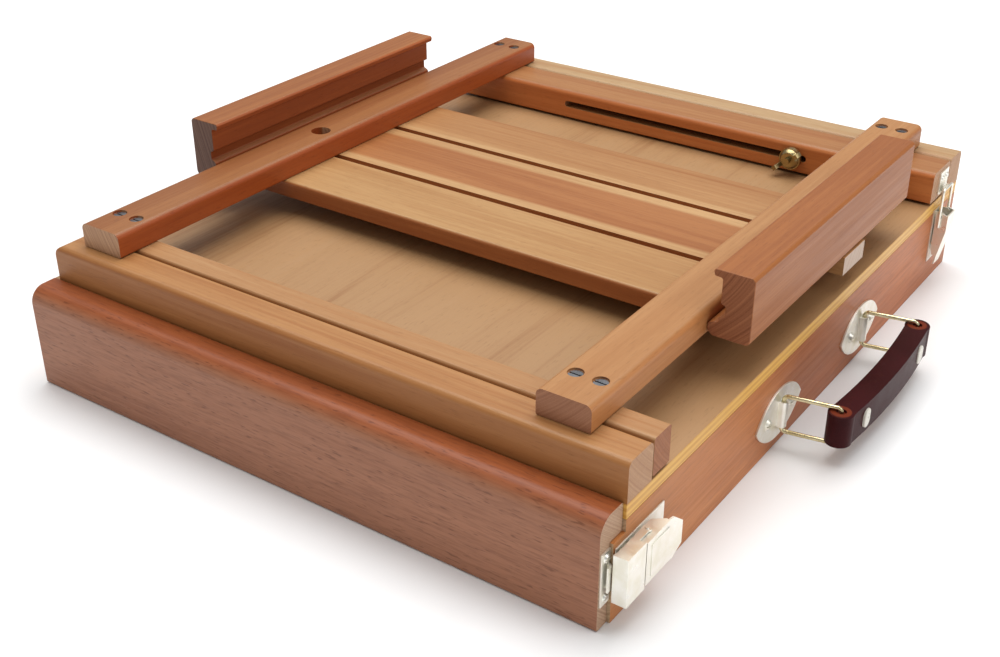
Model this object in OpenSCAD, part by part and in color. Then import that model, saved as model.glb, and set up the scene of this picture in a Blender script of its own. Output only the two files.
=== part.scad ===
// Wooden table easel: a flat sketch box with a sliding drawer and a tilting
// canvas frame that lies on its lid. Units are millimetres.
// X runs from the frame's hinge end to the carrying handle, Y from the drawer
// front to the back, Z up. The origin is the centre of the box underside.

/* [Overall size] */
// Width of the box along X
box_w = 360; // [240:1:520]
// Depth of the box along Y, drawer front included
box_d = 430; // [300:1:600]
// Height of the side walls
wall_h = 49; // [36:1:80]

/* [Box] */
// Thickness of the side and back walls
wall_t = 9; // [6:0.5:14]
// Thickness of the plywood lid
lid_t = 8; // [5:0.5:12]
// Thickness of the bottom panel
bottom_t = 4; // [3:0.5:8]
// Depth of the grooves that hold thin panels
groove_d = 3; // [2:0.5:5]
// Thickness of the drawer front
front_t = 18; // [12:1:26]
// Rise of the drawer front above the lid
front_rise = 1; // [0:0.5:12]
// Set-back of the drawer front's ends from the box sides
front_in = 1.7; // [0:0.1:4]
// Rounding of the drawer front's top front edge
front_round = 8.8; // [4:0.2:12]
// Thickness of the lip that covers the wall ends
front_lip = 8; // [5:0.5:12]

/* [Drawer] */
// Thickness of the drawer's inner walls
drawer_t = 8; // [5:0.5:12]
// Height of the drawer's inner walls
drawer_h = 34; // [20:1:60]
// Thickness of the drawer's bottom and dividers
thin_t = 3; // [2:0.5:6]
// Clearance around the drawer
drawer_gap = 0.8; // [0.3:0.1:2]
// How far the drawer pulls out
drawer_pull = 300; // [150:5:400]

/* [Rims and arms] */
// Height of the tilting arms
arm_h = 19.5; // [14:0.5:30]
// Gap under the arms
arm_lift = 1.5; // [1:0.1:4]
// Thickness of the front rim
front_rim_t = 21; // [14:0.5:30]
// Thickness of the front arm
front_arm_t = 14.6; // [10:0.2:24]
// Thickness of the rear arm, stay pocket included
rear_arm_t = 29.2; // [24:0.2:40]
// Thickness of the rear rim
rear_rim_t = 19.6; // [12:0.2:30]
// Gap between a rim and its arm
rim_gap = 0.5; // [0.3:0.1:1.5]
// Set-back of the rims from the hinge end of the box
rim_inset = 4; // [0:0.5:10]
// Rounding of the long top edges
arris_r = 3.5; // [0.5:0.5:6]
// Rounding of the rims' far top corners
rim_end_r = 6.5; // [6.5:0.5:9]

/* [Rails and board] */
// Width of the two cross rails
rail_w = 28; // [18:1:40]
// Thickness of the two cross rails
rail_t = 13.7; // [9:0.1:22]
// Set-back of the lower rail from the hinge end
rail_lo_in = 19; // [10:1:60]
// Set-back of the upper rail from the handle end
rail_hi_in = 23.7; // [20:0.1:60]
// Set-back of the rail ends from the drawer front's face
rail_front_in = 27; // [20:1:60]
// Set-back of the rail ends from the back of the box
rail_back_in = 10.6; // [2:0.1:40]
// Access hole in the lower rail, radius
rail_hole_r = 6; // [3:0.5:9]
// Thickness of the centre board
board_t = 10.5; // [7:0.5:16]
// Width of the centre board along Y
board_w = 152; // [100:1:240]
// Offset of the centre board from the middle of the box
board_y = 14; // [-60:1:60]
// Half distance between the two slots
slot_half = 29.2; // [20:0.2:60]
// Width of the slots
slot_w = 4.6; // [3:0.1:8]
// Distance from the far slot end to the handle end
slot_end_in = 59.4; // [40:0.2:120]

/* [Canvas ledges] */
// Length of the ledges
ledge_len = 205; // [120:1:320]
// Height of the ledges
ledge_h = 35.4; // [24:0.2:50]
// Width of the ledge foot
ledge_w = 21.2; // [16:0.2:30]
// Width of a sliding bar
bar_w = 27.6; // [16:0.2:40]
// Thickness of a sliding bar
bar_t = 5; // [3:0.5:8]
// How far the upper ledge slides out
holder_travel = 255; // [100:5:300]

/* [Stay] */
// Distance from the hinge to the bolt with the frame closed
bolt_reach = 255.4; // [160:0.2:300]
// Half width of the flat stay
stay_r = 5; // [4:0.5:8]
// Thickness of the flat stay
stay_t = 2.5; // [1.5:0.5:4]
// Radius of the wing nut bolt
bolt_r = 2; // [1.5:0.5:4]
// Largest tilt of the frame in degrees
tilt_max = 70; // [40:1:75]

/* [Handle] */
// Distance between the two handle brackets
handle_span = 107; // [80:1:140]
// Offset of the handle from the middle of the box
handle_y = 11.4; // [-80:0.2:80]
// Height of the handle's centre line
handle_z = 20.5; // [14:0.5:40]
// Radius of the bail wire
wire_r = 1.15; // [0.8:0.05:2]
// Reach of the bails
bail_reach = 29; // [22:0.5:40]
// Height of a bail between its two arms
bail_h = 21; // [16:0.5:30]
// Resting swing of the bails in degrees
bail_rest = 10; // [0:1:25]
// Half thickness of the grip
grip_r = 6.2; // [4:0.2:9]
// Outward arch of the grip
grip_arch = 3; // [0.5:0.5:14]

/* [Latches] */
// Half width of the front latch lever
latch_f_half = 11.5; // [8:0.5:14]
// Half width of the rear latch lever
latch_r_half = 6.5; // [5.5:0.5:12]
// Length of the front latch lever past its hinge
lever_len = 28; // [24:1:36]
// Length of the rear latch lever past its hinge
rear_lever_len = 33; // [24:1:40]
// Reach of the front claw
claw_reach = 17.5; // [14:0.5:30]
// Reach of the rear wire loop
loop_reach = 18; // [14:0.5:34]
// Sheet thickness of the latches
sheet_t = 0.9; // [0.6:0.1:1.5]

/* [Hidden] */
$fn = 48;
eps = 0.01;
run = 0.05;
// radial clearance of pins that turn
free = 0.3;
// gap between wood that slides or swings past wood
touch_gap = 0.3;

hw = box_w / 2;
hd = box_d / 2;
y_front = -hd;
y_car = y_front + front_t;
y_case = y_car + free;
lid_z0 = wall_h;
lid_z1 = wall_h + lid_t;
front_h = lid_z1 + front_rise;
bottom_z = 0;
nose_z = wall_h - 6;

arm_z0 = lid_z1 + arm_lift;
arm_z1 = arm_z0 + arm_h;
hinge_z = arm_z0 + arm_h / 2;
hinge_r = arm_h / 2;
hinge_x = -hw + rim_inset + hinge_r;
rim_z1 = arm_z1 - touch_gap;
fr_y0 = y_case;
fr_y1 = y_car + front_rim_t;
fa_y0 = fr_y1 + rim_gap;
fa_y1 = fa_y0 + front_arm_t;
rr_y0 = hd - rear_rim_t;
ra_y1 = rr_y0 - rim_gap;
ra_y0 = ra_y1 - rear_arm_t;

rail_y0 = y_front + rail_front_in;
rail_y1 = hd - rail_back_in;
rail_z1 = arm_z1 + rail_t;
lo_x0 = -hw + rail_lo_in;
lo_x1 = lo_x0 + rail_w;
hi_x1 = hw - rail_hi_in;
hi_x0 = hi_x1 - rail_w;
fs_y = (fa_y0 + fa_y1) / 2;
rs_y = ra_y1 - 6;
rail_screw_dx = 6.4;

board_z0 = arm_z1 - board_t;
board_x0 = hinge_x - hinge_r + 0.2;
board_x1 = hi_x1 - 1;
board_y0 = board_y - board_w / 2;
board_y1 = board_y + board_w / 2;
slots = [board_y - slot_half, board_y + slot_half];
slide_x0 = lo_x0 + 16;
slot_x0 = slide_x0 - bolt_r - free - 0.2;
slot_x1 = hw - slot_end_in;
bar_gap = 0.3;
bar_z1 = board_z0 + bar_t;
bar_pocket = bar_t + bar_gap;
guide_t = 2.5;
guide_lap = 3;
bar_x0 = slide_x0 - 6;
head_x0 = hi_x1 + 0.6;

ledge_lo_x0 = lo_x0 - ledge_w;
ledge_hi_x0 = hi_x1 + free;
ledge_y0 = board_y - 98;
ledge_y1 = ledge_y0 + ledge_len;
lip_t = 4;
recess_s = ledge_w - 4.8;
notch_s = ledge_w - 7.4;
foot_h = 11.5;

pivot_x = hinge_x + bolt_reach / 2;
bolt_x = hinge_x + bolt_reach;
bolt_x_min = hinge_x + bolt_reach * cos(tilt_max);
arm_slot_x0 = bolt_x_min - bolt_r - 0.5;
arm_slot_x1 = bolt_x + 9;
arm_slot_h = 2 * bolt_r + 0.4;
pocket_x0 = bolt_x_min - stay_r / sin(tilt_max) - arm_h / 2 / tan(tilt_max) - 1;
pocket_x1 = bolt_x + stay_r + 1.5;
pocket_z1 = hinge_z + stay_r + 0.6;
stay_y1 = ra_y1 - 1.9;
stay_y0 = stay_y1 - stay_t;
pocket_y0 = stay_y0 - 2.1;
pin_head_t = 1.4;
washer_t = 1.2;
nut_y1 = ra_y0 - free - washer_t - 0.1;
nut_t = 5.5;
nut_r = min(7, hinge_z - lid_z1 - 3);
wing_r = hinge_z - lid_z1 - 0.5;

brk_y = [handle_y - handle_span / 2, handle_y + handle_span / 2];
plate_t = 1.2;
leg_x = hw + 2.9;
out_x = leg_x + bail_reach * cos(bail_rest);
out_dy = bail_reach * sin(bail_rest);
bail_z0 = handle_z - bail_h / 2;
bail_z1 = handle_z + bail_h / 2;
clip_h = 15;
bail_bend = 2.4;
grip_h = bail_h - 2 * wire_r - 0.9;
grip_end_r = 6.8;
grip_z0 = handle_z - grip_h / 2;

lat_w = 4.2;
lat_top = 9;
loop_r = 0.95;
leg_r = 0.85;
base_t = 0.8;
f_hinge_y = y_car + 5;
f_z = 27;
f_strike_u = y_front + front_lip / 2 + 0.5 - f_hinge_y;
r_strike_u = -21;
brk_screw = 14;
r_hinge_z = lid_z1 - 10;
r_y = (ra_y0 + ra_y1) / 2 + 3;
hook_top = lat_w - loop_r - 0.4;

// ---------- helpers ----------
module prof(a0, a1, b0, b1, rt, rb) {
  union() {
    translate([a0, b0 + rb]) square([a1 - a0, b1 - b0 - rb - rt]);
    if (rt > 0) {
      translate([a0 + rt, b1 - rt - eps]) square([a1 - a0 - 2 * rt, rt + eps]);
      translate([a0 + rt, b1 - rt]) circle(r = rt);
      translate([a1 - rt, b1 - rt]) circle(r = rt);
    }
    if (rb > 0) {
      translate([a0 + rb, b0]) square([a1 - a0 - 2 * rb, rb + eps]);
      translate([a0 + rb, b0 + rb]) circle(r = rb);
      translate([a1 - rb, b0 + rb]) circle(r = rb);
    }
  }
}

module box(x0, x1, y0, y1, z0, z1) {
  translate([x0, y0, z0]) cube([x1 - x0, y1 - y0, z1 - z0]);
}

module bar_x(x0, x1, y0, y1, z0, z1, rt = 0, rb = 0) {
  translate([x0, 0, 0]) rotate([90, 0, 90]) linear_extrude(x1 - x0) prof(y0, y1, z0, z1, rt, rb);
}

module bar_y(x0, x1, y0, y1, z0, z1, rt = 0, rb = 0) {
  translate([0, y1, 0]) rotate([90, 0, 0]) linear_extrude(y1 - y0) prof(x0, x1, z0, z1, rt, rb);
}

module cyl_y(x, y0, y1, z, r) {
  translate([x, y1, z]) rotate([90, 0, 0]) cylinder(h = y1 - y0, r = r);
}

module cyl_x(x0, x1, y, z, r) {
  translate([x0, y, z]) rotate([0, 90, 0]) cylinder(h = x1 - x0, r = r);
}

// the round hinge-end outline of the arms, extruded along Y
module end_shape(y0, y1) {
  translate([0, y1, 0]) rotate([90, 0, 0]) linear_extrude(y1 - y0) union() {
    translate([hinge_x, hinge_z]) circle(r = hinge_r);
    translate([hinge_x, arm_z0]) square([hw - hinge_x, arm_z1 - arm_z0]);
  }
}

// countersunk wood screw pointing down, head top at the origin
module csk(head_r, len, shank_r) {
  difference() {
    union() {
      translate([0, 0, -head_r * 0.6]) cylinder(h = head_r * 0.6, r1 = shank_r, r2 = head_r);
      translate([0, 0, -len]) cylinder(h = len - head_r * 0.5, r = shank_r);
    }
    translate([-head_r, -0.45, -0.7]) cube([2 * head_r, 0.9, 1]);
  }
}

module csk_x(x, y, z, head_r, len, shank_r) {
  translate([x, y, z]) rotate([0, 90, 0]) csk(head_r, len, shank_r);
}

// ---------- box ----------
module bottom_panel() {
  color("burlywood") box(-hw + wall_t - groove_d, hw - wall_t + groove_d,
    y_case, hd - wall_t + groove_d, bottom_z, bottom_z + bottom_t);
}

module side_wall(s) {
  x0 = s > 0 ? hw - wall_t : -hw;
  g0 = s > 0 ? hw - wall_t - eps : -hw + wall_t - groove_d;
  difference() {
    union() {
      box(x0, x0 + wall_t, y_case, hd, 0, wall_h);
      box(x0, x0 + wall_t, y_front + front_lip + free, y_case + eps, 0, nose_z - free);
    }
    box(g0, g0 + groove_d + eps, y_case, hd - wall_t + groove_d, bottom_z - eps, bottom_z + bottom_t);
  }
}

module side_hinge_end() {
  color("peru") side_wall(-1);
}

module side_handle_end() {
  color("peru") difference() {
    side_wall(1);
    for (y = brk_y)
      for (d = [-1, 1])
        cyl_x(hw - 7, hw + 1, y + d * brk_screw, handle_z, 0.9);
    for (u = [10, 20]) {
      cyl_x(hw - 6.5, hw + 1, f_hinge_y + u, f_z, 0.9);
      cyl_x(hw - 6.5, hw + 1, r_y, r_hinge_z - u, 0.9);
    }
  }
}

module back_wall() {
  color("peru") difference() {
    box(-hw + wall_t, hw - wall_t, hd - wall_t, hd, 0, wall_h);
    box(-hw + wall_t - eps, hw - wall_t + eps, hd - wall_t - eps, hd - wall_t + groove_d, bottom_z - eps,
      bottom_z + bottom_t);
  }
}

module lid_panel() {
  color("tan") box(-hw, hw, y_case, hd, lid_z0, lid_z1);
}

module rim(y0, y1) {
  x0 = -hw + rim_inset;
  intersection() {
    translate([0, y1, 0]) rotate([90, 0, 0]) linear_extrude(y1 - y0) union() {
      translate([x0 + rim_end_r, rim_z1 - rim_end_r]) circle(r = rim_end_r);
      translate([x0 + rim_end_r, lid_z1]) square([hw - x0 - rim_end_r, rim_z1 - lid_z1]);
      translate([x0, lid_z1]) square([rim_end_r + eps, rim_z1 - lid_z1 - rim_end_r]);
    }
    bar_x(-hw, hw, y0, y1, lid_z1, rim_z1, arris_r, 0);
  }
}

module front_rim() {
  color("burlywood") difference() {
    rim(fr_y0, fr_y1);
    cyl_y(hinge_x, fr_y1 - 14, fr_y1 + 1, hinge_z, 2.6);
  }
}

module rear_rim() {
  color("burlywood") difference() {
    rim(rr_y0, hd);
    cyl_y(hinge_x, rr_y0 - 1, rr_y0 + 14, hinge_z, 2.6);
    cyl_y(pivot_x, rr_y0 - 1, rr_y0 + 12, hinge_z, 1.7);
  }
}

// ---------- drawer ----------
module front_prof() {
  rf = min(front_round, front_t / 2 - 0.2);
  rk = 1.5;
  rb = 1;
  union() {
    translate([y_front, rb]) square([front_t, front_h - rf - rb]);
    translate([y_front + rb, 0]) square([front_t - 2 * rb, rb + eps]);
    translate([y_front + rf, front_h - rf - eps]) square([front_t - rf, rf - rk + eps]);
    translate([y_front + rf, front_h - rk - eps]) square([front_t - rf - rk, rk + eps]);
    translate([y_front + rf, front_h - rf]) circle(r = rf);
    translate([y_car - rk, front_h - rk]) circle(r = rk);
    translate([y_front + rb, rb]) circle(r = rb);
    translate([y_car - rb, rb]) circle(r = rb);
  }
}

module drawer_front() {
  xe = hw - front_in;
  xn = hw - wall_t - drawer_gap;
  color("sienna") difference() {
    translate([-xe, 0, 0]) rotate([90, 0, 90]) linear_extrude(2 * xe) front_prof();
    box(xn, hw + 1, y_front + front_lip, y_car + 1, -1, nose_z);
    box(-hw - 1, -xn, y_front + front_lip, y_car + 1, -1, nose_z);
    for (d = [-1, 1])
      cyl_x(hw - front_in - 8, hw + 1, f_hinge_y + f_strike_u, f_z + d * 10.5, 0.9);
  }
}

d_x = hw - wall_t - drawer_gap;
d_z0 = bottom_z + bottom_t + drawer_gap;
d_y1 = hd - wall_t - 2;

module drawer_sides() {
  color("wheat") for (s = [-1, 1])
    difference() {
      box(s > 0 ? d_x - drawer_t : -d_x, s > 0 ? d_x : -d_x + drawer_t, y_car, d_y1, d_z0, d_z0 + drawer_h);
      box(-d_x + drawer_t - groove_d, d_x - drawer_t + groove_d, y_car - eps, d_y1 - drawer_t + groove_d,
        d_z0 + 2, d_z0 + 2 + thin_t);
    }
}

module drawer_back() {
  color("wheat") difference() {
    box(-d_x + drawer_t, d_x - drawer_t, d_y1 - drawer_t, d_y1, d_z0, d_z0 + drawer_h);
    box(-d_x, d_x, d_y1 - drawer_t - eps, d_y1 - drawer_t + groove_d, d_z0 + 2, d_z0 + 2 + thin_t);
  }
}

module drawer_bottom() {
  color("burlywood") box(-d_x + drawer_t - groove_d, d_x - drawer_t + groove_d, y_car,
    d_y1 - drawer_t + groove_d, d_z0 + 2, d_z0 + 2 + thin_t);
}

div_z0 = d_z0 + 2 + thin_t;
div_z1 = d_z0 + drawer_h - 2;
div_x = 40;
div_y = -20;

module long_divider() {
  color("wheat") box(div_x - thin_t, div_x, y_car, d_y1 - drawer_t, div_z0, div_z1);
}

module short_divider() {
  color("wheat") box(-d_x + drawer_t, div_x - thin_t, div_y, div_y + thin_t, div_z0, div_z1);
}

// ---------- tilting frame ----------
module front_arm() {
  color("burlywood") difference() {
    intersection() {
      end_shape(fa_y0, fa_y1);
      bar_x(-hw, hw, fa_y0, fa_y1, arm_z0, arm_z1, 1.5, 1);
    }
    cyl_y(hinge_x, fa_y0 - 1, fa_y1 + 1, hinge_z, 3 + run);
    cyl_y(hinge_x, fa_y1 - 2.2, fa_y1 + 1, hinge_z, 5.4);
    rail_pilots(fs_y);
  }
}

module rear_arm() {
  color("burlywood") difference() {
    intersection() {
      end_shape(ra_y0, ra_y1);
      bar_x(-hw, hw, ra_y0, ra_y1, arm_z0, arm_z1, arris_r, 1);
    }
    cyl_y(hinge_x, ra_y0 - 1, ra_y1 + 1, hinge_z, 3 + run);
    cyl_y(hinge_x, ra_y0 - 1, ra_y0 + 2.2, hinge_z, 5.4);
    box(arm_slot_x0 + bolt_r, arm_slot_x1 - bolt_r, ra_y0 - 1, ra_y1, hinge_z - arm_slot_h / 2,
      hinge_z + arm_slot_h / 2);
    cyl_y(arm_slot_x0 + bolt_r, ra_y0 - 1, ra_y1, hinge_z, arm_slot_h / 2);
    cyl_y(arm_slot_x1 - bolt_r, ra_y0 - 1, ra_y1, hinge_z, arm_slot_h / 2);
    box(pocket_x0, pocket_x1, pocket_y0, ra_y1 + 1, arm_z0 - 1, pocket_z1);
    rail_pilots(rs_y);
    for (d = [-1, 1])
      cyl_x(hw - 8, hw + 1, r_y + d * 3.6, r_hinge_z - r_strike_u + 2.5, 0.9);
  }
}

module rail_pilots(y) {
  for (xc = [(lo_x0 + lo_x1) / 2, (hi_x0 + hi_x1) / 2])
    for (d = [-1, 1])
      translate([xc + d * rail_screw_dx, y, arm_z1 - 12]) cylinder(h = 14, r = 1.3);
}

module rail_holes() {
  for (y = [fs_y, rs_y])
    for (xc = [(lo_x0 + lo_x1) / 2, (hi_x0 + hi_x1) / 2])
      for (d = [-1, 1]) {
        translate([xc + d * rail_screw_dx, y, arm_z1 - 1]) cylinder(h = rail_t + 2, r = 1.8);
        translate([xc + d * rail_screw_dx, y, rail_z1 - 3.1]) cylinder(h = 2.1, r1 = 1.8, r2 = 3.9);
        translate([xc + d * rail_screw_dx, y, rail_z1 - 1.01]) cylinder(h = 2, r = 3.9);
      }
}

module lower_rail() {
  color("chocolate") difference() {
    bar_y(lo_x0, lo_x1, rail_y0, rail_y1, arm_z1, rail_z1, 3.5, 1);
    rail_holes();
    translate([slide_x0, slots[0], arm_z1 - 1]) cylinder(h = rail_t + 2, r = rail_hole_r);
  }
}

module upper_rail() {
  color("chocolate") difference() {
    bar_y(hi_x0, hi_x1, rail_y0, rail_y1, arm_z1, rail_z1, 3.5, 1);
    rail_holes();
  }
}

module rail_screws() {
  color("silver") for (y = [fs_y, rs_y])
    for (xc = [(lo_x0 + lo_x1) / 2, (hi_x0 + hi_x1) / 2])
      for (d = [-1, 1])
        translate([xc + d * rail_screw_dx, y, rail_z1 - 1.0]) csk(3.5, 24, 1.6);
}

module centre_board() {
  color("tan") difference() {
    bar_x(board_x0, board_x1, board_y0, board_y1, board_z0, arm_z1, 2, 1);
    for (y = slots) {
      box(slot_x0 + slot_w / 2, slot_x1 - slot_w / 2, y - slot_w / 2, y + slot_w / 2,
        board_z0 - 1, arm_z1 + 1);
      translate([slot_x0 + slot_w / 2, y, board_z0 - 1]) cylinder(h = board_t + 2, r = slot_w / 2);
      translate([slot_x1 - slot_w / 2, y, board_z0 - 1]) cylinder(h = board_t + 2, r = slot_w / 2);
      box(bar_x0 - 1, board_x1 + 1, y - bar_w / 2 - bar_gap, y + bar_w / 2 + bar_gap, board_z0 - 1,
        board_z0 + bar_pocket);
    }
  }
}

module slide_guides() {
  gx0 = bar_x0 - 1;
  color("wheat") union() {
    bar_x(gx0, board_x1, slots[0] - bar_w / 2 - 10, slots[0] - bar_w / 2 + guide_lap,
      board_z0 - guide_t, board_z0);
    bar_x(gx0, board_x1, slots[0] + bar_w / 2 - guide_lap, slots[1] - bar_w / 2 + guide_lap,
      board_z0 - guide_t, board_z0);
    bar_x(gx0, board_x1, slots[1] + bar_w / 2 - guide_lap, slots[1] + bar_w / 2 + 10,
      board_z0 - guide_t, board_z0);
  }
}

// canvas ledge profile: s is the distance from the plain outer face
module ledge_prof() {
  difference() {
    union() {
      polygon([[2.6, 0], [ledge_w + 1.2 - 4, 0], [ledge_w + 1.2, 4], [ledge_w + 1.2, foot_h - 5.5],
        [ledge_w + 0.2, foot_h - 4.4], [ledge_w - 4.2, foot_h - 3.2], [ledge_w - 4.2, foot_h - 1.2],
        [ledge_w - 4.8, foot_h - 0.6], [notch_s, foot_h + 0.8], [notch_s, foot_h + 5.4],
        [recess_s, foot_h + 6.6], [recess_s, ledge_h - lip_t - 0.6],
        [recess_s + 0.6, ledge_h - lip_t], [ledge_w - 0.6, ledge_h - lip_t + 0.3],
        [ledge_w, ledge_h - 1.2], [ledge_w - 1, ledge_h], [1.5, ledge_h], [0, ledge_h - 1.5],
        [0, 2.6]]);
      translate([ledge_w + 1.2 - 4, 4]) circle(r = 4);
      translate([2.6, 2.6]) circle(r = 2.6);
    }
  }
}

module lower_ledge() {
  color("sienna") translate([ledge_lo_x0 - 1.2, ledge_y1, arm_z1]) rotate([90, 0, 0])
    linear_extrude(ledge_y1 - ledge_y0) ledge_prof();
}

module upper_ledge() {
  color("sienna") translate([ledge_hi_x0 + ledge_w + 1.2, ledge_y0, arm_z1]) rotate([90, 0, 180])
    linear_extrude(ledge_y1 - ledge_y0) ledge_prof();
}

// ---------- upper holder ----------
module slide_bar(y, x1) {
  union() {
    bar_x(bar_x0, x1, y - bar_w / 2, y + bar_w / 2, board_z0, bar_z1);
    box(head_x0, x1, y - bar_w / 2, y + bar_w / 2, board_z0, arm_z1);
  }
}

module slide_bar_a() {
  color("wheat") difference() {
    slide_bar(slots[0], head_x0 + 10);
    translate([slide_x0, slots[0], board_z0 - 1]) cylinder(h = bar_t + 2, r = 1.5);
  }
}

module slide_bar_b() {
  color("wheat") difference() {
    slide_bar(slots[1], hw - 0.6);
    translate([slide_x0, slots[1], board_z0 - 1]) cylinder(h = bar_t + 2, r = 1.5);
  }
}

module slide_screws() {
  color("silver") for (y = slots)
    translate([slide_x0, y, 0]) difference() {
      union() {
        translate([0, 0, board_z0 + 0.5]) cylinder(h = bar_t, r = 1.6);
        translate([0, 0, bar_z1]) cylinder(h = arm_z1 - 0.5 - bar_z1, r = bolt_r);
      }
      translate([-2, -0.4, arm_z1 - 1.1]) cube([4, 0.8, 1]);
    }
}

// ---------- hinge and stay ----------
module hinge_screw(y_head, y_tip) {
  s = y_tip > y_head ? 1 : -1;
  h1 = y_head;
  cyl_y(hinge_x, min(h1, h1 + s * 2), max(h1, h1 + s * 2), hinge_z, 5);
  cyl_y(hinge_x, min(h1, y_tip - s * 13), max(h1, y_tip - s * 13), hinge_z, 3);
  cyl_y(hinge_x, min(h1, y_tip), max(h1, y_tip), hinge_z, 2.7);
}

module hinge_screws() {
  color("silver") union() {
    hinge_screw(fa_y1 - 0.1, fr_y1 - 13);
    hinge_screw(ra_y0 + 0.1, rr_y0 + 13);
  }
}

module stay() {
  color("goldenrod") difference() {
    union() {
      box(pivot_x, bolt_x, stay_y0, stay_y1, hinge_z - stay_r, hinge_z + stay_r);
      cyl_y(pivot_x, stay_y0, stay_y1, hinge_z, stay_r);
      cyl_y(bolt_x, stay_y0, stay_y1, hinge_z, stay_r);
    }
    cyl_y(pivot_x, stay_y0 - 1, stay_y1 + 1, hinge_z, 2.2 + run);
    cyl_y(bolt_x, stay_y0 - 1, stay_y1 + 1, hinge_z, bolt_r - 0.1);
  }
}

module stay_pin() {
  color("silver") union() {
    cyl_y(pivot_x, stay_y0 - 0.2 - pin_head_t, stay_y0 - 0.2, hinge_z, 4);
    cyl_y(pivot_x, stay_y0 - 0.5, rr_y0 - 0.2, hinge_z, 2.2);
    cyl_y(pivot_x, stay_y1 + 0.3, rr_y0, hinge_z, 3.6);
    cyl_y(pivot_x, rr_y0 - 0.5, rr_y0 + 11, hinge_z, 1.8);
  }
}

module stay_bolt() {
  color("goldenrod") union() {
    cyl_y(bolt_x, stay_y1, stay_y1 + 1.3, hinge_z, 4);
    cyl_y(bolt_x, nut_y1 - nut_t - 3, stay_y1 + 0.5, hinge_z, bolt_r);
  }
}

module nut_washer() {
  color("goldenrod") difference() {
    cyl_y(bolt_x, ra_y0 - free - washer_t, ra_y0 - free, hinge_z, 5.2);
    cyl_y(bolt_x, ra_y0 - free - washer_t - 1, ra_y0, hinge_z, bolt_r - 0.05);
  }
}

module wing_nut() {
  color("goldenrod") difference() {
    union() {
      translate([bolt_x, nut_y1, hinge_z]) rotate([90, 0, 0]) rotate_extrude() intersection() {
        union() {
          square([nut_r, nut_t - 2.5]);
          translate([0, nut_t - 5]) circle(r = nut_r * 0.985);
        }
        square([nut_r, nut_t]);
      }
      for (s = [0, 180])
        translate([bolt_x, nut_y1, hinge_z]) rotate([0, s - 38, 0]) translate([0, -1.2, 0]) wing();
    }
    cyl_y(bolt_x, nut_y1 - nut_t - 3, nut_y1 + 1, hinge_z, bolt_r + run);
  }
}

// one thumb wing: a flat blade that leans outwards along the bolt
module wing() {
  translate([0, 0, -1.3]) linear_extrude(2.6)
    polygon([[nut_r - 2.2, 0], [nut_r - 2.2, -nut_t + 1], [wing_r - 3.4, -nut_t - 3.4],
      [wing_r - 1.2, -nut_t - 3.9],
      [wing_r - 0.1, -nut_t - 2.2], [wing_r, -nut_t + 0.4], [nut_r + 0.4, -0.2]]);
}

// ---------- handle ----------
module lens(a, b) {
  rr = (a * a + b * b) / (2 * b);
  intersection() {
    translate([0, b - rr]) circle(r = rr, $fn = 96);
    translate([0, rr - b]) circle(r = rr, $fn = 96);
  }
}

module handle_bracket(y) {
  translate([hw, y, handle_z]) difference() {
    union() {
      rotate([90, 0, 90]) linear_extrude(plate_t) lens(26.5, 14.5);
      translate([leg_x - hw, 0, -clip_h / 2]) cylinder(h = clip_h, r = 2.5);
      translate([plate_t - eps, -2.5, -clip_h / 2]) cube([leg_x - hw - plate_t, 5, clip_h]);
    }
    translate([leg_x - hw, 0, -clip_h / 2 - 1]) cylinder(h = clip_h + 2, r = wire_r + run);
    for (d = [-1, 1])
      translate([-1, d * brk_screw, 0]) rotate([0, 90, 0]) cylinder(h = 4, r = 1.5);
  }
}

module handle_brackets() {
  color("goldenrod") for (y = brk_y) handle_bracket(y);
}

module bracket_screws() {
  color("goldenrod") for (y = brk_y)
    for (d = [-1, 1])
      difference() {
        union() {
          cyl_x(hw - 6, hw + plate_t + 0.5, y + d * brk_screw, handle_z, 1.1);
          translate([hw + plate_t, y + d * brk_screw, handle_z]) rotate([0, 90, 0])
            cylinder(h = 1.5, r1 = 3.3, r2 = 1.9);
        }
        box(hw + plate_t + 0.7, hw + plate_t + 2, y + d * brk_screw - 4, y + d * brk_screw + 4,
          handle_z - 0.4, handle_z + 0.4);
      }
}

// a quarter bend of round wire, turning from +X to +Y about the origin
module bend(br, r) {
  rotate_extrude(angle = 90, $fn = 48) translate([br, 0]) circle(r = r);
}

// a rectangle of round wire in the XY plane, w by h between centre lines
module wire_ring(w, h, br, r) {
  translate([br, 0, 0]) rotate([0, 90, 0]) cylinder(h = w - 2 * br, r = r);
  translate([br, h, 0]) rotate([0, 90, 0]) cylinder(h = w - 2 * br, r = r);
  translate([0, br, 0]) rotate([-90, 0, 0]) cylinder(h = h - 2 * br, r = r);
  translate([w, br, 0]) rotate([-90, 0, 0]) cylinder(h = h - 2 * br, r = r);
  translate([w - br, h - br, 0]) bend(br, r);
  translate([br, h - br, 0]) rotate([0, 0, 90]) bend(br, r);
  translate([br, br, 0]) rotate([0, 0, 180]) bend(br, r);
  translate([w - br, br, 0]) rotate([0, 0, 270]) bend(br, r);
}

module bail(y) {
  translate([leg_x, y, bail_z0]) rotate([0, 0, bail_rest]) rotate([90, 0, 0])
    wire_ring(bail_reach, bail_h, bail_bend, wire_r);
}

module front_bail() {
  color("goldenrod") bail(brk_y[0]);
}

module rear_bail() {
  color("goldenrod") bail(brk_y[1]);
}

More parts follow.
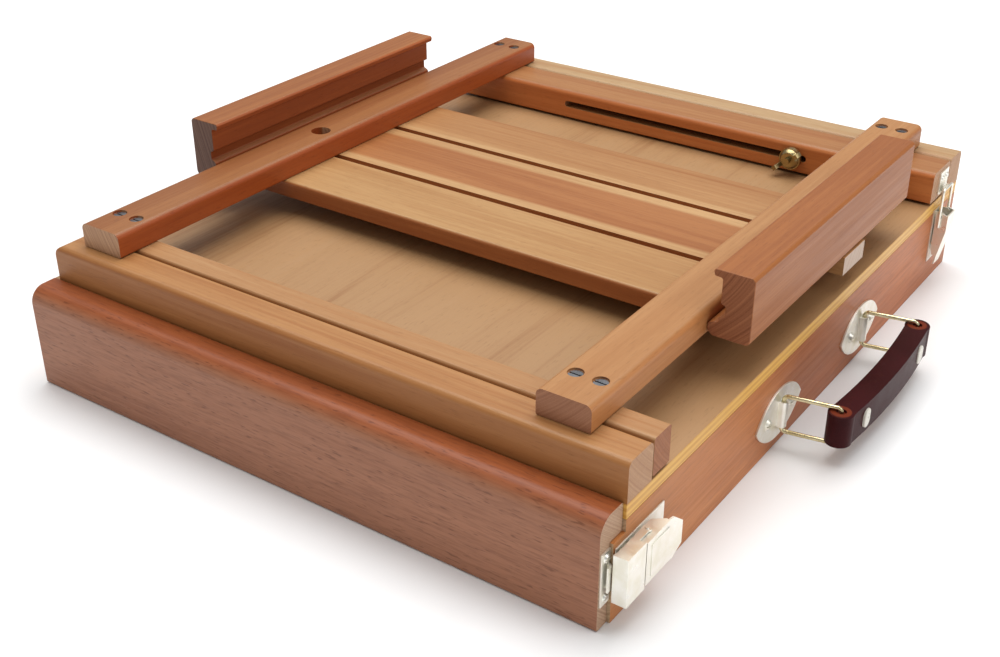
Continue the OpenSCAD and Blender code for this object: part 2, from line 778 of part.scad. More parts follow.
module grip() {
  half = handle_span / 2;
  ring_r = (half * half + grip_arch * grip_arch) / (2 * grip_arch);
  gy = handle_y + out_dy;
  color("maroon") difference() {
    union() {
      translate([0, 0, grip_z0]) linear_extrude(grip_h) union() {
        for (s = [-1, 1])
          translate([out_x, gy + s * half]) circle(r = grip_end_r);
        intersection() {
          difference() {
            translate([out_x + grip_arch - ring_r, gy]) circle(r = ring_r + grip_r, $fn = 256);
            translate([out_x + grip_arch - ring_r, gy]) circle(r = ring_r - grip_r, $fn = 256);
          }
          translate([out_x - 20, gy - half]) square([60, 2 * half]);
        }
      }
    }
    for (s = [-1, 1]) {
      b = s < 0 ? wire_r + run : wire_r + free;
      translate([out_x, gy + s * half, grip_z0 - 1]) cylinder(h = grip_h + 2, r = b);
      for (z = [grip_z0 - 1, grip_z0 + grip_h - 1.4])
        translate([out_x, gy + s * half, z]) cylinder(h = 2.4, r = 2.4);
    }
  }
}

module grip_rivets() {
  gy = handle_y + out_dy;
  half = handle_span / 2;
  ring_r = (half * half + grip_arch * grip_arch) / (2 * grip_arch);
  rv = 38;
  off = sqrt((ring_r + grip_r) * (ring_r + grip_r) - rv * rv) - ring_r;
  color("wheat") for (s = [-1, 1])
    translate([out_x + grip_arch + off - 2, gy + s * rv, handle_z]) rotate([90, 0, 90]) linear_extrude(3.1)
      union() {
        for (z = [-1.9, 1.9]) translate([0, z]) circle(r = 3.5);
        square([7, 3.8], center = true);
      }
}

// ---------- latches, drawn in a local frame: u away from the strike, v across, w outwards ----------
module in_front() {
  translate([hw, f_hinge_y, f_z]) rotate([90, 0, 90]) children();
}

module in_rear() {
  translate([hw, r_y, r_hinge_z]) rotate([90, 0, 90]) rotate([0, 0, -90]) children();
}

module latch_base(half, front, len) {
  difference() {
    union() {
      translate([-front, -half - 1, 0]) cube([len + front, 2 * half + 2, base_t]);
      for (s = [-1, 1])
        translate([0, s * (half - 1.9) + 0.45, 0]) rotate([90, 0, 0]) linear_extrude(0.9) union() {
          translate([0, lat_w]) circle(r = 2.4);
          translate([-2.4, 0.1]) square([4.8, lat_w - 0.1]);
        }
    }
    for (u = [10, 20])
      translate([u, 0, -1]) cylinder(h = 4, r = 1.3);
  }
}

module latch_pins(half) {
  for (s = [-1, 1])
    translate([0, s * (half - 0.9) + (s > 0 ? 1 : 1.4), lat_w]) rotate([90, 0, 0]) cylinder(h = 2.4, r = 1.1);
}

// sheet lever: flat over the hinge to bu, then rising or falling to its tapered tip
module latch_lever(half, tip, len, bu, rise) {
  t0 = lat_top - sheet_t;
  tm = lat_top - sheet_t / 2;
  low = [[-1.2, tm], [-2.2, lat_w + 1.8], [-2.2, lat_w - 1], [-1, 1.7], [2, 1.5]];
  we = len - 7;
  wz = tm + rise * (we - bu) / (len - bu);
  side = rise < 0 ? concat(low, [[we - 4, 1.5], [we, wz - 2.5], [we, wz], [bu, tm]])
    : concat(low, [[bu - 5, 1.5], [bu - 0.5, lat_top - 2], [bu - 0.5, tm]]);
  difference() {
    union() {
      intersection() {
        translate([0, half + 1, 0]) rotate([90, 0, 0]) linear_extrude(2 * half + 2)
          polygon([[-1.4, t0], [bu, t0], [len, t0 + rise], [len, lat_top + rise], [bu, lat_top],
            [-1.4, lat_top]]);
        linear_extrude(20)
          polygon([[-3, -half], [len - 6.5, -half], [len + 0.1, -tip], [len + 0.1, tip],
            [len - 6.5, half], [-3, half]]);
      }
      for (v = [-half, half - sheet_t])
        translate([0, v + sheet_t, 0]) rotate([90, 0, 0]) linear_extrude(sheet_t) polygon(side);
      if (rise > 0) translate([2.5, -half + 3, lat_top - 0.1]) cube([bu - 4, 2 * half - 6, 0.5]);
    }
    translate([0, half + 1, lat_w]) rotate([90, 0, 0]) cylinder(h = 2 * half + 2, r = 1.1 + run);
    translate([6.5, half + 1, lat_w]) rotate([90, 0, 0]) cylinder(h = 2 * half + 2, r = loop_r + run);
  }
}

// stamped claw that straddles the lever and reaches over the strike
module latch_claw(half, reach, low) {
  v0 = half + 0.3;
  v1 = v0 + sheet_t;
  union() {
    translate([6.5, v1 + 0.5, lat_w]) rotate([90, 0, 0]) cylinder(h = 2 * v1 + 1, r = loop_r);
    translate([-reach, -v1, lat_top - sheet_t]) cube([reach - 2, 2 * v1, sheet_t]);
    translate([-reach, -v1, low]) cube([sheet_t, 2 * v1, lat_top - low]);
    for (s = [-1, 1])
      translate([0, s > 0 ? v1 : -v0, 0]) rotate([90, 0, 0]) linear_extrude(sheet_t) union() {
        translate([6.5, lat_w]) circle(r = 2.1);
        translate([-2.7, lat_w - 1.6]) square([9.2, 3.2]);
        polygon([[-reach, low], [-reach + 3, 2.2], [-2.6, 2.2], [-2.6, lat_top], [-reach, lat_top]]);
      }
  }
}

// bent wire whose legs pass outside the lever
module latch_loop(half, reach) {
  lv = half + 0.3 + leg_r;
  br = 2;
  union() {
    translate([6.5, lv + 0.6, lat_w]) rotate([90, 0, 0]) cylinder(h = 2 * lv + 1.2, r = loop_r);
    translate([-reach, -lv + br, lat_w]) rotate([-90, 0, 0]) cylinder(h = 2 * lv - 2 * br, r = leg_r);
    for (s = [-1, 1])
      translate([-reach + br, s * lv, lat_w]) rotate([0, 90, 0]) cylinder(h = reach + 6.5 - br, r = leg_r);
    translate([-reach + br, lv - br, lat_w]) rotate([0, 0, 90]) bend(br, leg_r);
    translate([-reach + br, -lv + br, lat_w]) rotate([0, 0, 180]) bend(br, leg_r);
  }
}

// plate with an upright hook: u0..u1 long, half wide, hook at uh, holes at (us, +-vs)
module strike(u0, u1, half, uh, hook_half, us, vs) {
  difference() {
    union() {
      translate([u0, -half, 0]) cube([u1 - u0, 2 * half, sheet_t]);
      translate([uh, hook_half, 0]) rotate([90, 0, 0]) linear_extrude(2 * hook_half)
        polygon([[1.6, 0.5], [2.6, 0.5], [2.6, 1.6], [1.2, hook_top], [-1.4, hook_top],
          [-1.4, hook_top - 0.8],
          [0.6, hook_top - 0.8], [1.6, 1.4]]);
    }
    for (d = [-1, 1])
      translate([us, d * vs, -1]) cylinder(h = 4, r = 1.3);
  }
}

module small_screw() {
  difference() {
    union() {
      translate([0, 0, -6]) cylinder(h = 6.6, r = 1.4);
      cylinder(h = 0.9, r1 = 2.3, r2 = 1.5);
    }
    translate([-3, -0.3, 0.5]) cube([6, 0.6, 1]);
  }
}

module front_strike() {
  color("goldenrod") translate([-front_in, 0, 0]) in_front()
    strike(f_strike_u - 3.6, f_strike_u + 3.4, 14, f_strike_u, 6.5, f_strike_u, 10.5);
}

module front_strike_screws() {
  color("goldenrod") translate([-front_in, 0, 0]) in_front() for (d = [-1, 1])
    translate([f_strike_u, d * 10.5, sheet_t]) small_screw();
}

module rear_strike() {
  color("goldenrod") in_rear()
    strike(r_strike_u - 7, r_strike_u + 7, 7, r_strike_u + 4, 4, r_strike_u - 2.5, 3.6);
}

module rear_strike_screws() {
  color("goldenrod") in_rear() for (d = [-1, 1])
    translate([r_strike_u - 2.5, d * 3.6, sheet_t]) small_screw();
}

module front_latch_base() {
  color("goldenrod") in_front() latch_base(latch_f_half, 13.5, lever_len);
}

module rear_latch_base() {
  color("goldenrod") in_rear() latch_base(latch_r_half, 3.5, rear_lever_len - 2);
}

module latch_hinge_pins() {
  color("silver") union() {
    in_front() latch_pins(latch_f_half);
    in_rear() latch_pins(latch_r_half);
  }
}

module latch_base_screws() {
  color("goldenrod") for (u = [10, 20]) {
    in_front() translate([u, 0, base_t]) small_screw();
    in_rear() translate([u, 0, base_t]) small_screw();
  }
}

module front_latch_lever() {
  color("goldenrod") in_front() latch_lever(latch_f_half, 6, lever_len, lever_len - 9, 1.3);
}

module rear_latch_lever() {
  color("goldenrod") in_rear() latch_lever(latch_r_half, 4.5, rear_lever_len, 9, -4.6);
}

module front_latch_loop() {
  color("goldenrod") in_front() latch_claw(latch_f_half, claw_reach, hook_top - front_in + 0.5);
}

module rear_latch_loop() {
  color("goldenrod") in_rear() latch_loop(latch_r_half, loop_reach);
}

bottom_panel();
side_hinge_end();
side_handle_end();
back_wall();
lid_panel();
front_rim();
rear_rim();
drawer_front();
drawer_sides();
drawer_back();
drawer_bottom();
long_divider();
short_divider();
front_arm();
rear_arm();
lower_rail();
upper_rail();
rail_screws();
centre_board();
slide_guides();
lower_ledge();
upper_ledge();
slide_bar_a();
slide_bar_b();
slide_screws();
hinge_screws();
stay();
stay_pin();
stay_bolt();
nut_washer();
wing_nut();
handle_brackets();
bracket_screws();
front_bail();
rear_bail();
grip();
grip_rivets();
front_strike();
front_strike_screws();
rear_strike();
rear_strike_screws();
front_latch_base();
rear_latch_base();
latch_hinge_pins();
latch_base_screws();
front_latch_lever();
rear_latch_lever();
front_latch_loop();
rear_latch_loop();
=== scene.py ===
import math

import bpy
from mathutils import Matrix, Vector


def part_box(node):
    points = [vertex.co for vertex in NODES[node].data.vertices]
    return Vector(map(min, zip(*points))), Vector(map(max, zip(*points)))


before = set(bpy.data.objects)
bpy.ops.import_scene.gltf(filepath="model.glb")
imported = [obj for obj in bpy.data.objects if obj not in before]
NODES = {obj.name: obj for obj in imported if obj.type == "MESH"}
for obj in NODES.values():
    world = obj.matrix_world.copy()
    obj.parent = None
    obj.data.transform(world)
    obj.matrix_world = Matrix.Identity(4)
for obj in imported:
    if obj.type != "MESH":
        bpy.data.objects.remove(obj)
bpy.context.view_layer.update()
MM = 0.001


# ---------- small node-graph helper ----------
class Graph:
    """One material, with short calls for the shader nodes that the materials share."""

    def __init__(self, name):
        self.mat = bpy.data.materials.new(name)
        self.mat.use_nodes = True
        self.tree = self.mat.node_tree
        self.tree.nodes.clear()
        out = self.tree.nodes.new("ShaderNodeOutputMaterial")
        self.bsdf = self.tree.nodes.new("ShaderNodeBsdfPrincipled")
        self.link(self.bsdf.outputs[0], out.inputs[0])
        coord = self.tree.nodes.new("ShaderNodeTexCoord")
        self.obj = coord.outputs["Object"]
        self.normal = coord.outputs["Normal"]

    def node(self, kind, **props):
        n = self.tree.nodes.new("ShaderNode" + kind)
        for key, value in props.items():
            setattr(n, key, value)
        return n

    def link(self, a, b):
        self.tree.links.new(a, b)

    def put(self, socket, value):
        if hasattr(value, "is_output"):
            self.link(value, socket)
        elif value is not None:
            socket.default_value = value

    def surface(self, name, value):
        """Set or link one socket of the surface shader."""
        self.put(self.bsdf.inputs[name], value)

    def math(self, op, a, b=None):
        n = self.node("Math", operation=op)
        self.put(n.inputs[0], a)
        self.put(n.inputs[1], b)
        return n.outputs[0]

    def add(self, a, b):
        return self.math("ADD", a, b)

    def mul(self, a, b):
        return self.math("MULTIPLY", a, b)

    def vmath(self, op, a, b=None):
        n = self.node("VectorMath", operation=op)
        self.put(n.inputs[0], a)
        self.put(n.inputs[1], b)
        return n.outputs["Value"] if op in ("DOT_PRODUCT", "LENGTH") else n.outputs[0]

    def facing(self, direction):
        """1 where the surface looks along the direction, -1 where it looks the other way."""
        return self.vmath("DOT_PRODUCT", self.normal, direction)

    def split(self, v):
        n = self.node("SeparateXYZ")
        self.put(n.inputs[0], v)
        return n.outputs

    def join(self, x, y, z=None):
        n = self.node("CombineXYZ")
        for socket, value in zip(n.inputs, (x, y, z)):
            self.put(socket, value)
        return n.outputs[0]

    def mapping(self, v, loc=(0, 0, 0), rot=(0, 0, 0), scale=(1, 1, 1)):
        n = self.node("Mapping")
        self.put(n.inputs[0], v)
        n.inputs["Location"].default_value = loc
        n.inputs["Rotation"].default_value = rot
        n.inputs["Scale"].default_value = scale
        return n.outputs[0]

    def noise(self, v, scale=1.0, detail=2.0, rough=0.5):
        n = self.node("TexNoise")
        self.put(n.inputs["Vector"], v)
        n.inputs["Scale"].default_value = scale
        n.inputs["Detail"].default_value = detail
        n.inputs["Roughness"].default_value = rough
        return n.outputs[0]

    def streaks(self, v, stretch, detail, rough):
        """Noise drawn out along X; stretch gives its fineness along and across the grain."""
        along, across = stretch
        return self.noise(self.mapping(v, scale=(along, across, across)), 1.0, detail, rough)

    def ramp(self, f, stops, mode="LINEAR"):
        n = self.node("ValToRGB")
        n.color_ramp.interpolation = mode
        elements = n.color_ramp.elements
        while len(elements) > len(stops):
            elements.remove(elements[-1])
        while len(elements) < len(stops):
            elements.new(1.0)
        for element, (position, colour) in zip(elements, stops):
            element.position = position
            element.color = (*colour, 1)
        self.put(n.inputs[0], f)
        return n.outputs[0]

    def mix(self, fac, a, b, mode="MIX"):
        n = self.node("Mix", data_type="RGBA", blend_type=mode)
        self.put(n.inputs[0], fac)
        self.put(n.inputs[6], a if hasattr(a, "is_output") else (*a, 1))
        self.put(n.inputs[7], b if hasattr(b, "is_output") else (*b, 1))
        return n.outputs[2]

    def rng(self, v, low, high, to_low=0.0, to_high=1.0):
        """Stretch low..high to to_low..to_high, and stop at both ends."""
        n = self.node("MapRange")
        for socket, value in zip(n.inputs, (v, low, high, to_low, to_high)):
            self.put(socket, value)
        return n.outputs[0]

    def even(self, v):
        """The middle of a noise, where nearly all of it lies, as 0..1."""
        return self.rng(v, 0.3, 0.7)

    def bump(self, height, strength, dist):
        n = self.node("Bump")
        n.inputs["Strength"].default_value = strength
        n.inputs["Distance"].default_value = dist
        self.put(n.inputs["Height"], height)
        self.surface("Normal", n.outputs[0])


def shade(colour, k):
    return tuple(min(1.0, v * k) for v in colour)


def blend(a, b, t):
    return tuple(x * (1 - t) + y * t for x, y in zip(a, b))


# the turn that lays a piece's length along X, and its direction
AXIS = {"x": (0, 0, 0), "y": (0, 0, -math.pi / 2), "z": (0, math.pi / 2, 0)}
UNIT = {"x": (1, 0, 0), "y": (0, 1, 0), "z": (0, 0, 1)}

# solid wood: fineness of each noise along and across the grain
BROAD = (2.2, 9)
WANDER = (1.6, 5)
FINE = (9, 420)
LINES = (55, 620)
FLECKS = (150, 1100)
FIBRES = (30, 1500)
PORES = (1500, 1500)
HEART = (0, 0.07, -0.16)        # from the middle of the object to the heart of the tree, metres
RING_WANDER = 0.055             # how far the growth lines leave a straight run, metres
RING_DRIFT = 0.8                # how fast they change along the board
END_RINGS = 7.5                 # end grain shows the rings this much finer
WOOD_ROUGH = 0.42


def wood(name, axis, light, dark, seed, end, ring=95.0, bold=1.0, fleck=0.5, fine_lines=0.15,
         painted_side_light=(), bands=None):
    """Oiled beech: growth lines that follow the board, fibres, flecks, and its own end grain."""
    g = Graph(name)
    along = g.mapping(g.obj, rot=AXIS[axis])
    p = g.mapping(along, loc=(seed * 1.37, seed * 0.61, seed * 0.83))
    broad = g.streaks(p, BROAD, 2.0, 0.5)
    wander = g.streaks(p, WANDER, 1.5, 0.45)
    fine = g.streaks(p, FINE, 3.0, 0.6)
    fibre = g.streaks(p, FIBRES, 2.0, 0.6)
    lines = g.streaks(p, LINES, 2.0, 0.7)
    spots = g.rng(g.streaks(p, FLECKS, 1.0, 0.5), 0.62, 0.74)

    # distance from the heart of the tree, warped along the board
    x, y, z = g.split(g.mapping(along, loc=HEART))
    radius = g.math("SQRT", g.add(g.mul(y, y), g.mul(z, z)))
    radius = g.add(radius, g.mul(wander, RING_WANDER))
    rings = g.noise(g.join(g.mul(radius, ring), seed * 3.1, g.mul(x, RING_DRIFT)), 1.0, 2.5, 0.55)
    rings = g.rng(rings, 0.32, 0.68)

    tone = g.add(g.mul(rings, 0.42 * bold), g.mul(g.even(fine), 0.30))
    tone = g.add(tone, g.mul(g.even(broad), 0.45))
    mid = blend(light, dark, 0.45)
    stops = [(0.12, shade(light, 1.08)), (0.42, light), (0.68, mid), (1.0, dark)]
    col = g.ramp(tone, stops, "EASE")
    col = g.mix(g.mul(spots, 0.55 * fleck), col, shade(dark, 0.62))
    col = g.mix(g.mul(g.rng(fibre, 0.35, 0.75), 0.14), col, shade(dark, 0.8))
    col = g.mix(g.mul(g.rng(lines, 0.45, 0.68), fine_lines), col, shade(dark, 0.78))

    # end grain, found from the surface direction on the board itself
    is_end = g.rng(g.math("ABSOLUTE", g.facing(UNIT[axis])), 0.78, 0.9)
    stripes = g.noise(g.join(g.mul(radius, ring * END_RINGS), seed), 1.0, 2.0, 0.6)
    pores = g.streaks(p, PORES, 1.0, 0.5)
    end_tone = g.add(g.mul(g.rng(stripes, 0.34, 0.64), 0.60), g.mul(pores, 0.35))
    col = g.mix(is_end, col, g.ramp(end_tone, [(0.2, end[0]), (0.85, end[1])]))

    # painted light and shade: faces that look along a given direction are made lighter or darker,
    # for how light falls on them
    for direction, tint in painted_side_light:
        fac = g.mul(g.rng(g.facing(direction), 0.45, 0.85), g.math("SUBTRACT", 1.0, is_end))
        col = g.mix(fac, col, tint, "MULTIPLY")
    # boards side by side, or painted light and shade, across the object's depth
    if bands:
        y0, y1, marks = bands
        at = g.rng(g.split(g.obj)[1], y0, y1)
        col = g.mix(1.0, col, g.ramp(at, marks), "MULTIPLY")

    g.surface("Base Color", col)
    g.surface("Specular IOR Level", 0.30)
    rough = g.add(g.mul(g.even(fine), 0.12), WOOD_ROUGH - 0.06)
    g.surface("Roughness", g.add(rough, g.mul(is_end, 0.18)))
    g.surface("Coat Weight", 0.06)
    g.surface("Coat Roughness", 0.3)
    height = g.add(g.mul(fine, 0.6), g.mul(fibre, 0.4))
    g.bump(g.math("SUBTRACT", height, g.mul(spots, 0.4)), 0.35, 0.25 * MM)
    return g.mat


# plywood, with the same fineness pairs
PLY_BROAD = (3, 8)
PLY_FINE = (14, 520)
PLY_FLECKS = (170, 1200)
PLY_RINGS = 60.0                # growth lines per metre across the face
PLY_WANDER = 0.09               # how far they leave a straight run, metres
LAMINATION = 3.2 * MM           # one dark and one pale layer
PLY_FACE = (0.395, 0.222, 0.099)
PLY_FACE_D = (0.29, 0.133, 0.048)
PLY_EDGE = (0.82, 0.48, 0.10)
PLY_EDGE_D = (0.66, 0.31, 0.05)


def plywood(name, z_mid, seed):
    """Veneered board: quiet face grain, and pale laminations that show on its edges."""
    g = Graph(name)
    p = g.mapping(g.mapping(g.obj, rot=AXIS["y"]), loc=(seed, seed * 0.7, 0))
    wander = g.noise(g.mapping(p, scale=(2.0, 4.0, 1)), 1.0, 2.0, 0.5)
    x, y, _ = g.split(p)
    across = g.mul(g.add(y, g.mul(wander, PLY_WANDER)), PLY_RINGS)
    rings = g.even(g.noise(g.join(across, g.mul(x, 1.2)), 1.0, 3.0, 0.55))
    fine = g.streaks(p, PLY_FINE, 3.0, 0.6)
    broad = g.streaks(p, PLY_BROAD, 2.0, 0.5)
    spots = g.rng(g.streaks(p, PLY_FLECKS, 1.0, 0.5), 0.63, 0.75)
    tone = g.add(g.mul(rings, 0.4), g.mul(g.even(fine), 0.25))
    tone = g.add(tone, g.mul(g.even(broad), 0.4))
    face = g.ramp(tone, [(0.1, shade(PLY_FACE, 1.05)), (0.5, PLY_FACE), (1.0, PLY_FACE_D)], "EASE")
    face = g.mix(g.mul(spots, 0.3), face, shade(PLY_FACE_D, 0.7))

    # laminations on the edge
    height = g.math("SUBTRACT", g.split(g.obj)[2], z_mid)
    layers = g.rng(g.math("SINE", g.mul(height, 2 * math.pi / LAMINATION)), -0.5, 0.5)
    streak = g.noise(g.mapping(g.obj, scale=(60, 60, 900)), 1.0, 2.0, 0.6)
    layers = g.add(g.mul(layers, 0.6), g.mul(g.even(streak), 0.4))
    rim = g.ramp(layers, [(0.1, PLY_EDGE), (0.9, PLY_EDGE_D)])
    flat = g.rng(g.math("ABSOLUTE", g.facing(UNIT["z"])), 0.6, 0.8)

    g.surface("Base Color", g.mix(flat, rim, face))
    g.surface("Roughness", g.rng(fine, 0.3, 0.7, 0.38, 0.52))
    g.surface("Coat Weight", 0.08)
    g.surface("Coat Roughness", 0.35)
    g.bump(fine, 0.3, 0.2 * MM)
    return g.mat


def metal(name, base, rough, tint, seed=0.0, scratch=0.25, metallic=1.0):
    """Plated or aged metal with soft smudges of a second tone and fine rubbing marks."""
    g = Graph(name)
    p = g.mapping(g.obj, loc=(seed, seed, seed))
    smudge = g.noise(p, 160.0, 3.0, 0.55)
    micro = g.noise(g.mapping(p, scale=(2600, 260, 900)), 1.0, 2.0, 0.6)
    g.surface("Base Color", g.mix(g.rng(smudge, 0.35, 0.65), base, tint))
    g.surface("Metallic", metallic)
    dull = g.rng(smudge, 0.3, 0.7, rough * 0.7, rough * 1.35)
    g.surface("Roughness", g.add(dull, g.mul(micro, 0.06)))
    g.bump(g.add(micro, g.mul(smudge, 0.6)), scratch, 0.06 * MM)
    return g.mat


def leather(name, base, light, raw, ends, ring):
    """Dark hide on the grip: wrinkles, pores, rubbed high spots, and raw edges at its ends."""
    g = Graph(name)
    pores = g.node("TexVoronoi", feature="DISTANCE_TO_EDGE")
    g.put(pores.inputs["Vector"], g.obj)
    pores.inputs["Scale"].default_value = 900.0
    cells = g.rng(pores.outputs[0], 0.0, 0.28)
    broad = g.noise(g.obj, 45.0, 3.0, 0.5)
    col = g.mix(g.rng(broad, 0.35, 0.7), base, light)
    col = g.mix(g.mul(g.math("SUBTRACT", 1.0, cells), 0.35), col, shade(base, 0.45))
    level = g.rng(g.math("ABSOLUTE", g.facing(UNIT["z"])), 0.85, 0.95)
    for x, y in ends:
        away = g.vmath("MULTIPLY", g.vmath("SUBTRACT", g.obj, (x, y, 0)), (1, 1, 0))
        cut = g.mul(g.rng(g.vmath("LENGTH", away), ring, ring + 0.6 * MM, 1.0, 0.0), level)
        col = g.mix(cut, col, raw)
    g.surface("Base Color", col)
    g.surface("Roughness", g.rng(broad, 0.3, 0.7, 0.30, 0.44))
    g.surface("Specular IOR Level", 0.07)
    g.surface("Coat Weight", 0.03)
    g.surface("Coat Roughness", 0.2)
    wrinkles = g.noise(g.mapping(g.obj, scale=(240, 90, 240)), 1.0, 3.0, 0.6)
    g.bump(g.add(cells, wrinkles), 0.4, 0.1 * MM)
    return g.mat


def enamel(name, base, rough, coat):
    g = Graph(name)
    n = g.noise(g.obj, 300.0, 3.0, 0.5)
    g.surface("Base Color", g.mix(g.even(n), shade(base, 0.92), base))
    g.surface("Roughness", g.rng(n, 0.3, 0.7, rough * 0.85, rough * 1.15))
    g.surface("Coat Weight", coat)
    g.bump(n, 0.15, 0.05 * MM)
    return g.mat


def paper(name, dark, light):
    g = Graph(name)
    g.surface("Base Color", g.mix(g.noise(g.obj, 40.0, 3.0, 0.5), dark, light))
    g.surface("Roughness", 0.9)
    return g.mat


# ---------- colours (linear) ----------
TAN = (0.50, 0.262, 0.105)
TAN_D = (0.36, 0.150, 0.048)
BOARD = (0.53, 0.300, 0.140)
BOARD_D = (0.38, 0.165, 0.058)
AMBER = (0.315, 0.126, 0.043)
AMBER_D = (0.23, 0.070, 0.020)
PINK = (0.40, 0.168, 0.088)
PINK_D = (0.29, 0.104, 0.050)
ROSE = (0.50, 0.178, 0.058)
ROSE_D = (0.36, 0.108, 0.030)
# end grain, pale and dark rings
END = ((0.55, 0.360, 0.235), (0.36, 0.200, 0.120))
END_PALE = ((0.54, 0.320, 0.180), (0.38, 0.190, 0.102))
END_CREAM = ((0.66, 0.52, 0.42), (0.52, 0.36, 0.26))
END_WARM = ((0.41, 0.185, 0.095), (0.27, 0.105, 0.050))
END_AMBER = ((0.40, 0.160, 0.070), (0.26, 0.090, 0.036))
END_RED = ((0.42, 0.165, 0.075), (0.21, 0.068, 0.030))
# painted shade, partly: the lower ledge's end grain is made very dark for the shade on that end
# face, as well as for its darker end grain
END_SHADED = ((0.20, 0.105, 0.070), (0.10, 0.045, 0.030))


def board_bands():
    """Pale strips beside the two slots, a rosier middle board and a warm rear board."""
    y0, y1 = (corner.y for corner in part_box("centre_board"))
    screw_lo, screw_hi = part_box("slide_screws")
    slot_a, slot_b = screw_lo.y + 2 * MM, screw_hi.y - 2 * MM
    front, pale = (0.90, 0.90, 0.80), (0.98, 1.03, 1.00)
    middle, rear = (0.73, 0.52, 0.37), (0.86, 0.80, 0.70)
    marks = [(y0, front), (slot_a - 4 * MM, front), (slot_a, pale), (slot_a + 8 * MM, pale),
             (slot_a + 11 * MM, middle), (slot_b - 12 * MM, middle), (slot_b - 9 * MM, pale),
             (slot_b + 7 * MM, pale), (slot_b + 10 * MM, rear), (y1, rear)]
    return (y0, y1, [((y - y0) / (y1 - y0), colour) for y, colour in marks])


def wall_painted_shade():
    """Painted light and shade along the wall: lighter towards the drawer front, a darker, redder
    stretch behind the grip where the ledge and grip shade it.
    """
    y0, y1 = (corner.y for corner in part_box("side_handle_end"))
    marks = [(0.0, (1.22, 1.36, 1.30)), (0.30, (1.22, 1.26, 1.12)), (0.45, (0.98, 0.83, 0.66)),
             (0.65, (0.98, 0.81, 0.64)), (0.80, (1.06, 0.92, 0.74)), (1.0, (0.98, 0.83, 0.64))]
    return (y0, y1, marks)


FRONT, RIGHT, LEFT, TOP = (0, -1, 0), (1, 0, 0), (-1, 0, 0), (0, 0, 1)
# node: direction of its grain, light tone, dark tone, end grain, and extras, where the face tints
# are painted light and shade;
# a node's place in this list seeds its grain
WOODS = {
    "drawer_front": ("x", PINK, PINK_D, END, dict(
        ring=150, fleck=1.3, bold=0.45, fine_lines=0.5, painted_side_light=[(TOP, (0.82, 0.52, 0.27))])),
    "front_rim": ("x", TAN, TAN_D, END_PALE, dict(painted_side_light=[(FRONT, (0.95, 0.80, 0.64))])),
    "rear_rim": ("x", (0.46, 0.30, 0.155), TAN_D, END_PALE, {}),
    "front_arm": ("x", (0.48, 0.275, 0.130), TAN_D, END_AMBER, {}),
    "rear_arm": ("x", (0.39, 0.178, 0.066), (0.30, 0.106, 0.032), END_PALE, dict(
        painted_side_light=[(FRONT, (1.58, 1.18, 0.90))])),
    "lower_rail": ("y", AMBER, AMBER_D, END_PALE, dict(painted_side_light=[(RIGHT, (1.20, 0.66, 0.42))])),
    "upper_rail": ("y", (0.47, 0.235, 0.095), TAN_D, END_WARM, dict(
        painted_side_light=[(LEFT, (0.95, 0.65, 0.48)), (RIGHT, (1.15, 1.0, 0.88))])),
    "lower_ledge": ("y", (0.355, 0.129, 0.037), AMBER_D, END_SHADED, dict(
        painted_side_light=[(RIGHT, (1.16, 0.81, 0.76))])),
    "upper_ledge": ("y", (0.350, 0.124, 0.035), (0.24, 0.068, 0.0165), END_RED, dict(
        painted_side_light=[(LEFT, (0.80, 0.50, 0.40)), (RIGHT, (1.21, 1.18, 0.92))])),
    "side_handle_end": ("y", ROSE, ROSE_D, END, dict(bands=wall_painted_shade(), bold=0.7, fine_lines=0.4)),
    "side_hinge_end": ("y", ROSE, ROSE_D, END, {}),
    "back_wall": ("x", ROSE, ROSE_D, END, {}),
    "drawer_sides": ("y", TAN, TAN_D, END, dict(bold=0.7)),
    "drawer_back": ("x", TAN, TAN_D, END, dict(bold=0.7)),
    "long_divider": ("y", TAN, TAN_D, END, dict(bold=0.6)),
    "short_divider": ("x", TAN, TAN_D, END, dict(bold=0.6)),
    "slide_guides": ("x", TAN, TAN_D, END_PALE, {}),
    "slide_bar_a": ("x", TAN, TAN_D, END_PALE, {}),
    "slide_bar_b": ("x", TAN, TAN_D, END_CREAM, {}),
    "centre_board": ("x", BOARD, BOARD_D, END, dict(
        ring=70, bands=board_bands(), painted_side_light=[(FRONT, (0.80, 0.48, 0.34))])),
}
# eased edges, millimetres
WOOD_EASE = 0.7
EASE = {"drawer_front": 1.2, "upper_ledge": 0.8, "lower_ledge": 0.8, "lower_rail": 1.0,
        "upper_rail": 1.0}
PLY_EASE = 0.4
PLATE_EASE = 0.25
GRIP_EASE = 2.4
RIVET_EASE = 0.6


def give(keys, mat):
    for key in keys:
        mesh = NODES[key].data
        mesh.materials.clear()
        mesh.materials.append(mat)


def soften(key, width, segments=3):
    """Eased edges on a CAD node, by modifiers only; the width is in millimetres."""
    mods = NODES[key].modifiers
    weld = mods.new("weld", "WELD")
    weld.merge_threshold = 1e-5
    planar = mods.new("planar", "DECIMATE")
    planar.decimate_type = "DISSOLVE"
    planar.angle_limit = math.radians(0.8)
    ease = mods.new("ease", "BEVEL")
    ease.width = width * MM
    ease.segments = segments
    ease.limit_method = "ANGLE"
    ease.angle_limit = math.radians(32)
    ease.use_clamp_overlap = True
    ease.miter_outer = "MITER_ARC"
    normals = mods.new("normals", "WEIGHTED_NORMAL")
    normals.mode = "FACE_AREA"
    normals.keep_sharp = False


for number, (key, (axis, light, dark, end, extra)) in enumerate(WOODS.items(), start=1):
    give([key], wood("wood_" + key, axis, light, dark, float(number), end, **extra))
    soften(key, EASE.get(key, WOOD_EASE))

for number, key in enumerate(("lid_panel", "bottom_panel", "drawer_bottom"), start=1):
    lo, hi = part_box(key)
    give([key], plywood("ply_" + key, (lo.z + hi.z) / 2, float(number)))
    soften(key, PLY_EASE, 2)

